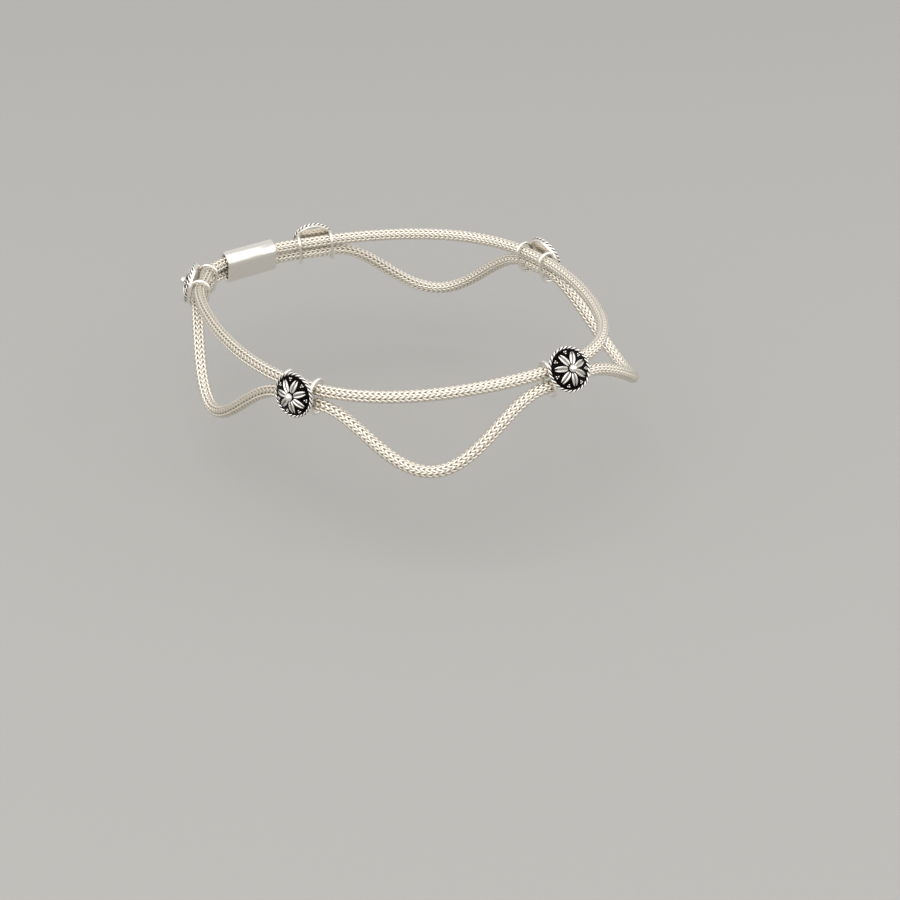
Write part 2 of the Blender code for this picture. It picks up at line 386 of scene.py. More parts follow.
def mesh_of(name: str, shapes: list[Shape]) -> bpy.types.Mesh:
    """Joins shapes into one mesh, smooth but for its sharp edges.

    Args:
        name: The mesh's name.
        shapes: The shapes, each a closed surface.

    Returns:
        The mesh, with material slots numbered as Finish is.
    """
    mesh = bpy.data.meshes.new(name)
    faces, slots, base = [], [], 0
    for shape in shapes:
        faces += [tuple(corner + base for corner in face) for face in shape.faces]
        slots += [shape.finish.value] * len(shape.faces)
        base += len(shape.points)
    mesh.from_pydata(np.vstack([shape.points for shape in shapes]).tolist(), [], faces)
    mesh.polygons.foreach_set("material_index", slots)
    crest = mesh.attributes.new(CREST, "FLOAT", "POINT")
    crest.data.foreach_set("value", np.concatenate([shape.crest for shape in shapes]))
    mesh.shade_smooth()
    mesh.set_sharp_from_angle(angle=SHARP_ANGLE)
    mesh.update()
    return mesh


def new_object(name: str, data: bpy.types.ID) -> bpy.types.Object:
    """Puts a new object in the scene.

    Args:
        name: The object's name.
        data: Its mesh, curve, lamp or camera.

    Returns:
        The object.
    """
    obj = bpy.data.objects.new(name, data)
    bpy.context.collection.objects.link(obj)
    return obj


def place_piece(name: str, mesh: bpy.types.Mesh, node: str) -> None:
    """Puts a finished mesh in the scene, in place of a solid.

    Args:
        name: The piece's name.
        mesh: Its mesh, already in place.
        node: The solid that it stands for.
    """
    piece = new_object(name, mesh)
    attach(piece, BODY)
    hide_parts(node)
    triangles = sum(len(polygon.vertices) - 2 for polygon in mesh.polygons)
    LOG.info("%s stands for %s: %d triangles", name, node, triangles)


class GeometryTree(NodeTree):
    """A geometry tree with named inputs, run on one object's geometry."""

    def __init__(self, name: str, sizes: dict[str, int | float | tuple | Material]) -> None:
        """Makes the tree and one input for each named size.

        Args:
            name: What the tree makes.
            sizes: The inputs' names and values: a whole number, a length, a point or a material.
        """
        super().__init__(bpy.data.node_groups.new(name, "GeometryNodeTree"))
        self.sizes = sizes
        face = self.tree.interface
        face.new_socket("Geometry", in_out="INPUT", socket_type="NodeSocketGeometry")
        face.new_socket("Geometry", in_out="OUTPUT", socket_type="NodeSocketGeometry")
        for size, value in sizes.items():
            kind = {int: "Int", float: "Float", tuple: "Vector"}.get(type(value), "Material")
            face.new_socket(size, in_out="INPUT", socket_type=f"NodeSocket{kind}")
        self.given = self.tree.nodes.new("NodeGroupInput").outputs

    def tube(self, line: Socket, radius: Socket, sides: int) -> Socket:
        """Draws a round wire along a line, closed at its ends.

        Args:
            line: The wire's middle.
            radius: Half its thickness.
            sides: Faces round it.

        Returns:
            The wire.
        """
        section = self.add("GeometryNodeCurvePrimitiveCircle", {"Resolution": sides, "Radius": radius})[0]
        links = {"Curve": line, "Profile Curve": section, "Fill Caps": True}
        return self.add("GeometryNodeCurveToMesh", links)[0]

    def around(
        self, shape: Socket, copies: Socket, parts: Socket, axis: tuple, climb: Socket | float = 0.0
    ) -> Socket:
        """Copies a shape round an axis.

        Args:
            shape: What is copied.
            copies: How many copies stand side by side.
            parts: How many would make a whole turn.
            axis: The axis.
            climb: How far along X they get in a whole turn.

        Returns:
            The copies.
        """
        index = self.add("GeometryNodeInputIndex")[0]
        share = self.add("ShaderNodeMath", {0: index, 1: parts}, operation="DIVIDE")[0]
        angle = self.add("ShaderNodeMath", {0: share, 1: math.tau}, operation="MULTIPLY")[0]
        along = self.add("ShaderNodeMath", {0: share, 1: climb}, operation="MULTIPLY")[0]
        place = self.add("ShaderNodeCombineXYZ", {"X": along})[0]
        points = self.add("GeometryNodePoints", {"Count": copies, "Position": place})[0]
        turn = self.add("FunctionNodeAxisAngleToRotation", {"Axis": axis, "Angle": angle})[0]
        links = {"Points": points, "Instance": shape, "Rotation": turn}
        return self.add("GeometryNodeInstanceOnPoints", links)[0]

    def finish(self, geometry: Socket) -> None:
        """Ends the tree: real meshes, smooth, with their material.

        Args:
            geometry: What the tree has made.
        """
        real = self.add("GeometryNodeRealizeInstances", {"Geometry": geometry})[0]
        smooth = self.add("GeometryNodeSetShadeSmooth", {"Geometry": real})[0]
        links = {"Geometry": smooth, "Material": self.given["Material"]}
        dressed = self.add("GeometryNodeSetMaterial", links)[0]
        self.add("NodeGroupOutput", {"Geometry": dressed})

    def run(self, start: bpy.types.ID) -> bpy.types.Mesh:
        """Runs the tree.

        Args:
            start: The mesh or curve that it starts from.

        Returns:
            The result, as a plain mesh.
        """
        obj = new_object(self.tree.name, start)
        modifier = obj.modifiers.new(self.tree.name, "NODES")
        modifier.node_group = self.tree
        for socket in self.tree.interface.items_tree:
            if socket.in_out == "INPUT" and socket.name in self.sizes:
                modifier[socket.identifier] = self.sizes[socket.name]
        graph = bpy.context.evaluated_depsgraph_get()
        mesh = bpy.data.meshes.new_from_object(obj.evaluated_get(graph), depsgraph=graph)
        bpy.data.objects.remove(obj)
        return mesh


def reach_along(points: np.ndarray) -> np.ndarray:
    """Length of a path up to each of its points."""
    return np.concatenate([[0.0], np.cumsum(np.linalg.norm(np.diff(points, axis=0), axis=1))])


@dataclass
class AnkleLoop:
    """Centreline of the upper chain, an oval read by length of chain from the front of the ankle."""

    length_front_to_back: float = 85.5 * MM
    width: float = 65.4 * MM
    front_rise: float = 3.1 * MM
    side_flatness: float = 0.065
    tip_fullness: float = 0.012
    widest_forward: float = 0.031
    leg_slope: float = 0.23
    instep_slope: float = 0.38
    steps: int = 1440
    outward_reach: float = 1.23 * MM
    points: np.ndarray = field(init=False, repr=False)
    reach: np.ndarray = field(init=False, repr=False)

    def __post_init__(self) -> None:
        """Works out the oval's points and the length of chain up to each."""
        angle = np.linspace(0, math.tau, self.steps + 1)
        flat, full = self.side_flatness, self.tip_fullness
        across = (1 - flat) * np.sin(angle) - flat * np.sin(3 * angle)
        along = (1 - full) * np.cos(angle) + full * np.cos(3 * angle)
        along += self.widest_forward * (1 - np.cos(2 * angle))
        half_width, half_length = self.width / 2, self.length_front_to_back / 2
        rise = self.front_rise * np.cos(angle)
        self.points = np.stack([-half_width * across, -half_length * along, rise], axis=1)
        self.reach = reach_along(self.points)

    @property
    def length(self) -> float:
        """Length of chain once round."""
        return float(self.reach[-1])

    def point(self, place: float) -> Vector:
        """The point at a place, a length of chain from the front towards -X."""
        place %= self.length
        return Vector([float(np.interp(place, self.reach, axis)) for axis in self.points.T])

    def outward(self, place: float) -> Vector:
        """Level direction that points away from the leg."""
        run = self.point(place + self.outward_reach) - self.point(place - self.outward_reach)
        return Vector((-run.y, run.x, 0)).normalized()

    def down(self, place: float) -> Vector:
        """Finds the way down the leg's surface, which widens most over the instep.

        Args:
            place: A place on the loop.

        Returns:
            The direction.
        """
        outward = self.outward(place)
        slope = self.leg_slope + self.instep_slope * max(0.0, -outward.y) ** 2
        return (outward * slope - Vector((0, 0, 1))).normalized()

    def chain_point(self, place: float, depth: float) -> Vector:
        """A point of the leg's surface, a depth below the upper chain."""
        return self.point(place) + self.down(place) * depth


@dataclass
class Layout:
    """Where the chains, medallions and clasp lie round the ankle."""

    loop: AnkleLoop
    chain_diameter: float = 2.46 * MM
    chain_space: float = 0.35 * MM
    swag_depth: float = 12.5 * MM
    swag_shares: tuple[float, ...] = (1.0, 0.93, 1.13, 1.0)
    middle_medallion_from_front: float = 10.2 * MM
    clasp_to_medallion: float = 14.55 * MM
    straight_past_loop: float = 0.4 * MM
    loop_spread: float = 6.8 * MM
    loop_wire: float = 0.66 * MM
    clasp_length: float = 11.0 * MM
    socket_depth: float = 2.0 * MM
    socket_clearance: float = 0.3 * MM
    sample: float = 0.25 * MM
    bend_softening: float = 2.5 * MM

    @property
    def chain_drop(self) -> float:
        """Distance between the two chains' centrelines where they run side by side."""
        return self.chain_diameter + self.chain_space

    @property
    def straight_half(self) -> float:
        """Half the straight stretch behind a medallion."""
        return self.loop_spread / 2 + self.loop_wire / 2 + self.straight_past_loop

    @property
    def clasp_place(self) -> float:
        """Place of the clasp's middle."""
        return self.middle_medallion_from_front + self.loop.length / 2

    def medallion_places(self) -> list[float]:
        """Works out where the medallions hang.

        Returns:
            Their places on the loop, from the clasp round to it again.
        """
        first = self.clasp_place - self.clasp_to_medallion
        pitch = (self.loop.length - 2 * self.clasp_to_medallion) / len(self.swag_shares)
        return [first - pitch * number for number in range(len(self.swag_shares) + 1)]

    def frame(self, place: float, half: float) -> Matrix:
        """Place of a piece on a straight stretch of both chains.

        Args:
            place: The stretch's middle, along the loop.
            half: Half its length.

        Returns:
            A matrix midway between the chains: X right, Y up and Z out, seen from outside.
        """
        start = self.loop.point(place - half)
        end = self.loop.point(place + half)
        right = (start - end).normalized()
        up = -self.loop.down(place)
        up = (up - right * up.dot(right)).normalized()
        centre = (start + end) / 2 - up * (self.chain_drop / 2)
        turn = Matrix((right, up, right.cross(up))).transposed()
        return Matrix.LocRotScale(centre, turn, None)

    def span(self, start: float, end: float, drop: float, swag: float) -> list[Vector]:
        """Points of a chain between two places.

        Args:
            start: Where the span starts.
            end: Where it ends.
            drop: Depth of the whole chain below the upper one.
            swag: Depth of the span's middle below its ends.

        Returns:
            The points, one every sample or so, both ends included.
        """
        sides = max(2, round(abs(end - start) / self.sample))
        points = []
        for side in range(sides + 1):
            share = side / sides
            depth = drop + swag * (1 - math.cos(math.tau * share)) / 2
            points.append(self.loop.chain_point(start + (end - start) * share, depth))
        return points

    def route(self, strand: Strand) -> np.ndarray:
        """Centreline of one chain, from one pocket of the clasp round the ankle to the other.

        Args:
            strand: Which chain.

        Returns:
            Points a sample apart, with the bends at the straight stretches eased.
        """
        lower = strand is Strand.LOWER
        drop = self.chain_drop if lower else 0.0
        clasp_half = self.clasp_length / 2
        stops = [(self.clasp_place, clasp_half)]
        stops += [(place, self.straight_half) for place in self.medallion_places()]
        stops.append((self.clasp_place - self.loop.length, clasp_half))
        swags = [0.0, *(self.swag_depth * share * lower for share in self.swag_shares), 0.0]
        chain_end = clasp_half - self.socket_depth + self.socket_clearance
        pocket = self.frame(self.clasp_place, clasp_half)
        height = self.chain_drop / 2 - drop
        points = [pocket @ Vector((chain_end, height, 0))]
        for (here, half_here), (there, half_there), swag in zip(stops, stops[1:], swags):
            points += self.span(here - half_here, there + half_there, drop, swag)
        points.append(pocket @ Vector((-chain_end, height, 0)))
        return self.eased(np.array(points))

    def eased(self, points: np.ndarray) -> np.ndarray:
        """Spaces points evenly and rounds the bends, with both ends kept.

        Args:
            points: A path's corners.

        Returns:
            The eased path.
        """
        reach = reach_along(points)
        even = np.linspace(0, reach[-1], round(reach[-1] / self.sample) + 1)
        path = np.stack([np.interp(even, reach, axis) for axis in points.T], axis=1)
        half = round(self.bend_softening / self.sample / 2)
        weights = np.hanning(2 * half + 3)[1:-1]
        before = 2 * path[0] - path[half:0:-1]
        after = 2 * path[-1] - path[-2:-half - 2:-1]
        padded = np.vstack([before, path, after])
        return np.stack([np.convolve(axis, weights / weights.sum(), "valid") for axis in padded.T], axis=1)


@dataclass
class KnittedChain:
    """A round chain knitted of silver wire: rings of V stitches, each ring through the last."""

    layout: Layout
    strand: Strand
    columns: int = 6
    pitch: float = 1.05 * MM
    wire: float = 0.51 * MM
    apex_reach: float = 0.62 * MM
    end_reach: float = 0.66 * MM
    apex_side: float = 0.09 * MM
    end_side: float = 0.47 * MM
    apex_level: float = 0.74 * MM
    end_level: float = 0.72 * MM
    apex_handle: float = 0.5  # where a leg's first handle lies, as a share of the apex's reach
    end_handle: float = 0.35  # where its second lies, as a share of the end's reach
    arch: float = 1.29  # their level is this share of the ridge's
    arch_drop: float = 0.33  # less this share of the apex's
    core_radius: float = 0.86 * MM
    leg_steps: int = 5
    leg_sides: int = 5
    core_sides: int = 12

    def stitch_tree(self, rings: int, silver: Material) -> GeometryTree:
        """The tree that knits along a curve.

        Args:
            rings: How many rings of stitches the chain has.
            silver: The wire's finish.

        Returns:
            The tree; it starts from the chain's centreline.
        """
        ridge = (self.layout.chain_diameter - self.wire) / 2
        over = ridge * self.arch - self.apex_level * self.arch_drop
        leg_points = {
            "Start": (-self.apex_reach, self.apex_side, self.apex_level),
            "Start Handle": (-self.apex_reach * self.apex_handle, self.apex_side, over),
            "End Handle": (self.end_reach * self.end_handle, self.end_side, over),
            "End": (self.end_reach, self.end_side, self.end_level),
        }
        tree = GeometryTree(
            f"{self.strand.value}_knitting",
            {
                "Rings": rings,
                "Columns": self.columns,
                "Pitch": self.pitch,
                "Chain Radius": self.layout.chain_diameter / 2,
                "Wire Radius": self.wire / 2,
                "Core Radius": self.core_radius,
                "Material": silver,
                **leg_points,
            },
        )
        given = tree.given
        links = {"Resolution": self.leg_steps, **{name: given[name] for name in leg_points}}
        path = tree.add("GeometryNodeCurvePrimitiveBezierSegment", links)[0]
        leg = tree.tube(path, given["Wire Radius"], self.leg_sides)
        twin = tree.add("GeometryNodeTransform", {"Geometry": leg, "Scale": (1, -1, 1)})[0]
        twin = tree.add("GeometryNodeFlipFaces", {"Mesh": twin})[0]
        stitch = tree.add("GeometryNodeJoinGeometry", {"Geometry": [leg, twin]})[0]
        height = tree.add("ShaderNodeSeparateXYZ", {0: tree.add("GeometryNodeInputPosition")[0]})["Z"]
        links = {"Value": height, "From Min": given["Core Radius"], "From Max": given["Chain Radius"]}
        links = {"Geometry": stitch, "Name": CREST, "Value": tree.add("ShaderNodeMapRange", links)[0]}
        stitch = tree.add("GeometryNodeStoreNamedAttribute", links, data_type="FLOAT", domain="POINT")[0]
        ring = tree.around(stitch, given["Columns"], given["Columns"], (1, 0, 0), given["Pitch"])
        line = {"Curve": given["Geometry"], "Count": given["Rings"]}
        along = tree.add("GeometryNodeCurveToPoints", line)
        quarter = tree.add("FunctionNodeAxisAngleToRotation", {"Axis": (0, 1, 0), "Angle": -math.pi / 2})[0]
        links = {"Rotation": along["Rotation"], "Rotate By": quarter}
        facing = tree.add("FunctionNodeRotateRotation", links, rotation_space="LOCAL")[0]
        links = {"Points": along["Points"], "Instance": ring, "Rotation": facing}
        knitted = tree.add("GeometryNodeInstanceOnPoints", links)[0]
        core = tree.add("GeometryNodeResampleCurve", line)[0]
        core = tree.tube(core, given["Core Radius"], self.core_sides)
        tree.finish(tree.add("GeometryNodeJoinGeometry", {"Geometry": [knitted, core]})[0])
        return tree

    def build(self, silver: Material) -> None:
        """Knits the chain and puts it in the scene.

        Args:
            silver: The wire's finish.
        """
        node = self.strand.value
        path = self.layout.route(self.strand)
        length = reach_along(path)[-1]
        line = bpy.data.curves.new(node, "CURVE")
        line.dimensions = "3D"
        spline = line.splines.new("POLY")
        spline.points.add(len(path) - 1)
        spline.points.foreach_set("co", np.hstack([path, np.ones((len(path), 1))]).ravel())
        rings = round(length / self.pitch)
        LOG.info("%s: %.0f mm of chain, %d rings of %d stitches", node, length / MM, rings, self.columns)
        mesh = self.stitch_tree(rings, silver).run(line)
        mesh.name = f"knitted_{node}"
        place_piece(mesh.name, mesh, node)


@dataclass(frozen=True)
class Seat:
    """How a medallion's disc sits on its wire loops."""

    petal_deg: float  # direction of the first petal, from the medallion's right
    rise: float = 0.0  # how far up it is soldered, as a share of its diameter
    tilt_deg: float = 0.0  # how far its top leans back towards the leg


@dataclass
class Medallion:
    """A domed disc with a rope rim, seven double-barred petals, a ball and two wire loops.

    A wear is the crest that a plain part has, from 0 in the dark to 1 where it is rubbed bright. On the cup,
    the darker wall and root under the rope are painted shade.
    """

    layout: Layout
    seats: tuple[Seat, ...] = (
        Seat(25.0, rise=0.045),
        Seat(23.0),
        Seat(10.0, rise=0.045, tilt_deg=9.0),
        Seat(47.0),
        Seat(5.0),
    )
    diameter: float = 8.7 * MM
    back_clearance: float = 0.6 * MM
    wall_height: float = 0.8 * MM
    dome_rise: float = 1.0 * MM
    dome_bands: int = 10
    segments: int = 72
    edge: float = 0.12 * MM
    edge_corner: float = 0.3  # how far in its rounded corner lies, as a share of the edge
    wall_shade: float = 0.35  # how far below the rope the wall darkens, as a share of its wire
    cup_wear_and_shade: tuple[float, ...] = (0.8, 0.9, 1.0, 0.75, 0.2)  # plate, rim, edge, wall and root; the wall and root values are painted shade under the rope
    rope_wire: float = 0.62 * MM
    rope_strands: int = 2
    rope_strand: float = 0.27  # radius of a strand, as a share of the rope's wire
    rope_twist: float = 0.25  # radius that its middle winds at, as the same share
    rope_root: float = 6 / 11  # share of the rope's radius within which it is black
    rope_turns: int = 14
    rope_steps: int = 14 * 14  # 14 to a turn
    rope_sides: int = 9
    petal_count: int = 7
    petal_start: float = 0.9 * MM
    petal_length: float = 2.3 * MM
    petal_height: float = 0.36 * MM
    petal_root: float = 0.25 * MM
    bar_middle: float = 0.385 * MM
    bar_bow: float = 0.2 * MM
    bow_fullness: float = 0.7
    bar_half_width: float = 0.245 * MM
    bar_wave: tuple[float, float] = (0.16, 0.96)  # part of a half wave that its width follows
    bar_fullness: float = 0.6
    bar_steps: int = 18
    bar_sides: int = 12
    web_height: float = 0.1 * MM
    web_reach: tuple[float, float] = (0.076, 0.844)  # its ends, as shares of the petal's length
    web_wave: tuple[float, float] = (0.02, 0.98)
    web_fullness: float = 0.8
    web_wear: float = 0.32
    ball_diameter: float = 1.5 * MM
    ball_above_rope: float = 1.5 * MM
    ball_segments: int = 32
    grain_wear: float = 0.62  # of a ball's waist; its foot has none
    granule: float = 0.32 * MM
    granule_ring: float = 3.3 * MM
    granule_spread: float = 0.36 * MM
    granule_lift: float = 0.15  # how far its middle clears the ground, as a share of its diameter
    granule_segments: int = 10
    loop_clearance: float = 0.3 * MM
    loop_steps: int = 16
    loop_sides: int = 12
    loop_wear: float = 0.9

    @property
    def rope_radius(self) -> float:
        """Radius of the rope's centreline."""
        return (self.diameter - self.rope_wire) / 2

    @property
    def disc_back(self) -> float:
        """Level of the disc's back, in front of the chains' centrelines."""
        return self.layout.chain_diameter / 2 + self.back_clearance

    @property
    def rope_level(self) -> float:
        """Level of the rope's centreline."""
        return self.disc_back + self.wall_height

    def dome(self, radius: float | np.ndarray) -> float | np.ndarray:
        """Level of the dome's ground at a distance from the axis."""
        return self.rope_level + self.dome_rise * (1 - (radius / self.rope_radius) ** 2)

    def cup(self) -> Shape:
        """Turns the plain back plate and wall that hold the dome.

        Returns:
            The cup.
        """
        radius, back, top = self.rope_radius, self.disc_back, self.rope_level
        corner = self.edge * self.edge_corner
        # painted shade: the wall darkens from below the rope up to its root; the plate, rim and edge are
        # rubbed bright by wear
        plate, rim, edge, wall, root = self.cup_wear_and_shade
        profile = [
            (0.0, back, plate),
            (radius - self.edge, back, rim),
            (radius - corner, back + corner, edge),
            (radius, back + self.edge, edge),
            (radius, top - self.rope_wire * self.wall_shade, wall),
            (radius, top, root),
            (0.0, top, root),
        ]
        return Shape.turned(profile, self.segments, Finish.PLAIN)

    def ground(self) -> Shape:
        """Turns the blackened dome between the petals.

        Returns:
            The dome.
        """
        profile = [(0.0, self.disc_back + self.edge, 0.0)]
        for band in range(self.dome_bands):
            radius = self.rope_radius * (1 - band / self.dome_bands)
            profile.append((radius, self.dome(radius), 0.0))
        profile.append((0.0, self.dome(0.0), 0.0))
        return Shape.turned(profile, self.segments, Finish.GROUND)

    def rope(self, silver: Material) -> Shape:
        """Twists the rim: two wires round the disc's edge.

        Args:
            silver: The relief's finish.

        Returns:
            Both wires, black where they touch.
        """
        tree = GeometryTree(
            "rope_rim",
            {
                "Rim Radius": self.rope_radius,
                "Strand Radius": self.rope_wire * self.rope_strand,
                "Twist Radius": self.rope_wire * self.rope_twist,
                "Strands": self.rope_strands,
                "Turns": self.rope_turns,
                "Steps": self.rope_steps,
                "Material": silver,
            },
        )
        given = tree.given
        links = {"Resolution": given["Steps"], "Radius": given["Rim Radius"]}
        rim = tree.add("GeometryNodeCurvePrimitiveCircle", links)[0]
        share = tree.add("GeometryNodeSplineParameter")["Factor"]
        turns = tree.add("ShaderNodeMath", {0: share, 1: given["Turns"]}, operation="MULTIPLY")[0]
        twist = tree.add("ShaderNodeMath", {0: turns, 1: math.tau}, operation="MULTIPLY")[0]
        swings = []
        for wave in ("COSINE", "SINE"):
            links = {0: tree.add("ShaderNodeMath", {0: twist}, operation=wave)[0], 1: given["Twist Radius"]}
            swings.append(tree.add("ShaderNodeMath", links, operation="MULTIPLY")[0])
        place = tree.add("GeometryNodeInputPosition")[0]
        outward = tree.add("ShaderNodeVectorMath", {0: place}, operation="NORMALIZE")[0]
        sideways = tree.add("ShaderNodeVectorMath", {0: outward, "Scale": swings[0]}, operation="SCALE")[0]
        upward = tree.add("ShaderNodeCombineXYZ", {"Z": swings[1]})[0]
        offset = tree.add("ShaderNodeVectorMath", {0: sideways, 1: upward}, operation="ADD")[0]
        helix = tree.add("GeometryNodeSetPosition", {"Geometry": rim, "Offset": offset})[0]
        strand = tree.tube(helix, given["Strand Radius"], self.rope_sides)
        parts = tree.add("ShaderNodeMath", {0: given["Strands"], 1: given["Turns"]}, operation="MULTIPLY")[0]
        tree.finish(tree.around(strand, given["Strands"], parts, (0, 0, 1)))
        shape = Shape.of_mesh(tree.run(bpy.data.meshes.new("rope_start")), Finish.RELIEF)
        from_rim = np.hypot(np.hypot(*shape.points.T[:2]) - self.rope_radius, shape.points[:, 2])
        shape.crest = np.interp(from_rim / (self.rope_wire / 2), (self.rope_root, 1), (0, 1))
        shape.points[:, 2] += self.rope_level
        return shape

    def wave(self, part: tuple[float, float], fullness: float) -> np.ndarray:
        """Heights of part of a half wave along a petal; a power below 1 fills them out."""
        return np.sin(math.pi * np.linspace(*part, self.bar_steps + 1)) ** fullness

    def bar(self, side: int) -> Shape:
        """One of a petal's two bars, pointed at the rim and bowed away from its twin.

        Args:
            side: 1 or -1, the side of the petal's middle line.

        Returns:
            The bar of the petal that points along X.
        """
        swell = self.wave(self.bar_wave, self.bar_fullness)[:, None]
        bow = self.bar_bow * (1 - self.wave((0, 1), self.bow_fullness)[:, None])
        along = self.petal_start + self.petal_length * np.linspace(0, 1, self.bar_steps + 1)[:, None]
        angle = np.linspace(-math.pi / 2, 1.5 * math.pi, self.bar_sides, endpoint=False)
        level = np.sin(angle)
        rise = np.where(level > 0, level, level * self.petal_root / self.petal_height)
        rings = np.zeros((self.bar_steps + 1, self.bar_sides, 3))
        rings[:, :, 0] = along
        rings[:, :, 1] = side * (self.bar_middle - bow) + self.bar_half_width * swell * np.cos(angle)
        rings[:, :, 2] = self.dome(along) + self.petal_height * swell * rise
        return Shape.loft(rings, False, np.clip(level, 0, 1), Finish.RELIEF)

    def web(self) -> Shape:
        """Lays the shallow floor between a petal's two bars.

        Returns:
            The floor of the petal that points along X.
        """
        along = self.petal_start + self.petal_length * np.linspace(*self.web_reach, self.bar_steps + 1)
        half = self.bar_middle * self.wave(self.web_wave, self.web_fullness)
        rings = np.zeros((len(along), 4, 3))
        rings[:, :, 0] = along[:, None]
        rings[:, :, 1] = half[:, None] * np.array([-1, 1, 1, -1])
        rings[:, :, 2] = self.dome(along)[:, None] + np.repeat([-self.petal_root, self.web_height], 2)
        return Shape.loft(rings, False, np.repeat([0.0, self.web_wear], 2), Finish.RELIEF)

    def grain(self, radius: float, segments: int, centre: Vector) -> Shape:
        """A small ball, as the granules and the middle ball are.

        Args:
            radius: Its radius.
            segments: Faces round it; half as many from pole to pole.
            centre: Its middle.

        Returns:
            The ball, black where it meets the ground.
        """
        angles = np.linspace(-math.pi / 2, math.pi / 2, segments // 2 + 1)
        wear = np.minimum((np.sin(angles) + 1) * self.grain_wear, 1)
        profile = list(zip(radius * np.cos(angles), radius * np.sin(angles), wear))
        return Shape.turned(profile, segments, Finish.RELIEF).moved(Matrix.Translation(centre))

    def granules(self) -> list[Shape]:
        """Sets three granules near the rim, midway between two petals.

        Returns:
            The granules next to the petal along X.
        """
        turn = Matrix.Rotation(math.pi / self.petal_count, 4, "Z")
        ring, spread = self.granule_ring, self.granule_spread
        shapes = []
        for across, along in ((ring, spread / 2), (ring, -spread / 2), (ring - spread, 0.0)):
            centre = Vector((across, along, self.dome(across) + self.granule * self.granule_lift))
            shapes.append(self.grain(self.granule / 2, self.granule_segments, centre).moved(turn))
        return shapes

    def rosette(self, silver: Material) -> Shape:
        """Sets petals and granules, the same seven times round the axis.

        Args:
            silver: The relief's finish.

        Returns:
            All of them, with a petal along X.
        """
        tree = GeometryTree("rosette", {"Petals": self.petal_count, "Material": silver})
        petals = tree.given["Petals"]
        tree.finish(tree.around(tree.given["Geometry"], petals, petals, (0, 0, 1)))
        start = mesh_of("petal", [self.bar(1), self.bar(-1), self.web(), *self.granules()])
        return Shape.of_mesh(tree.run(start), Finish.RELIEF)

    def ball(self) -> Shape:
        """The ball in the rosette's middle."""
        centre = Vector((0, 0, self.rope_level + self.ball_above_rope))
        return self.grain(self.ball_diameter / 2, self.ball_segments, centre)

    def wire_loop(self, side: int) -> Shape:
        """One upright wire loop, which both chains pass through.

        Args:
            side: 1 or -1, the edge of the disc that it is soldered to.

        Returns:
            The loop.
        """
        wire = self.layout.loop_wire / 2
        bend = self.layout.chain_diameter / 2 + self.loop_clearance + wire
        middle = side * self.layout.loop_spread / 2
        sides = []
        for corner in np.arange(self.loop_sides) * math.tau / self.loop_sides:
            place = bend + wire * math.cos(corner), middle - wire * math.sin(corner)
            sides.append(round_both(self.layout.chain_drop, self.loop_steps, *place))
        return Shape.loft(np.stack(sides, axis=1), True, np.array(self.loop_wear), Finish.PLAIN)

    def seated(self, seat: Seat) -> Matrix:
        """Seats a rosette in its medallion's own frame, between the chains.

        Args:
            seat: How it sits.

        Returns:
            Its place in that frame.
        """
        lift = Matrix.Translation((0, seat.rise * self.diameter, 0))
        tilt = Matrix.Rotation(math.radians(-seat.tilt_deg), 4, "X")
        return lift @ tilt @ Matrix.Rotation(math.radians(seat.petal_deg), 4, "Z")

    def build(self, finishes: dict[Finish, Material]) -> None:
        """Makes the five medallions.

        Args:
            finishes: The material of each finish.
        """
        relief = finishes[Finish.RELIEF]
        front = [self.cup(), self.ground(), self.rope(relief), self.rosette(relief), self.ball()]
        loops = [self.wire_loop(-1), self.wire_loop(1)]
        places = self.layout.medallion_places()
        for number, (place, seat) in enumerate(zip(places, self.seats), start=1):
            frame_here = self.layout.frame(place, self.layout.straight_half)
            shapes = [shape.moved(frame_here @ self.seated(seat)) for shape in front]
            shapes += [shape.moved(frame_here) for shape in loops]
            mesh = mesh_of(f"rosette_medallion_{number}", shapes)
            for finish in Finish:
                mesh.materials.append(finishes[finish])
            place_piece(mesh.name, mesh, f"medallion_{number}")


def round_both(drop: float, steps: int, radius: float, along: float) -> np.ndarray:
    """Points round the two chains: two half circles, joined by two straights.

    Args:
        drop: Distance between the chains.
        steps: Steps in each half circle.
        radius: How far the points lie from the chains' centrelines.
        along: Where they lie along X.

    Returns:
        The points, the upper half circle's first.
    """
    upper = np.linspace(-math.pi / 2, math.pi / 2, steps + 1)
    angle = np.concatenate([upper, upper + math.pi])
    middle = np.repeat([drop / 2, -drop / 2], steps + 1)
    place = np.full(len(angle), along)
    return np.stack([place, middle + radius * np.cos(angle), radius * np.sin(angle)], axis=1)


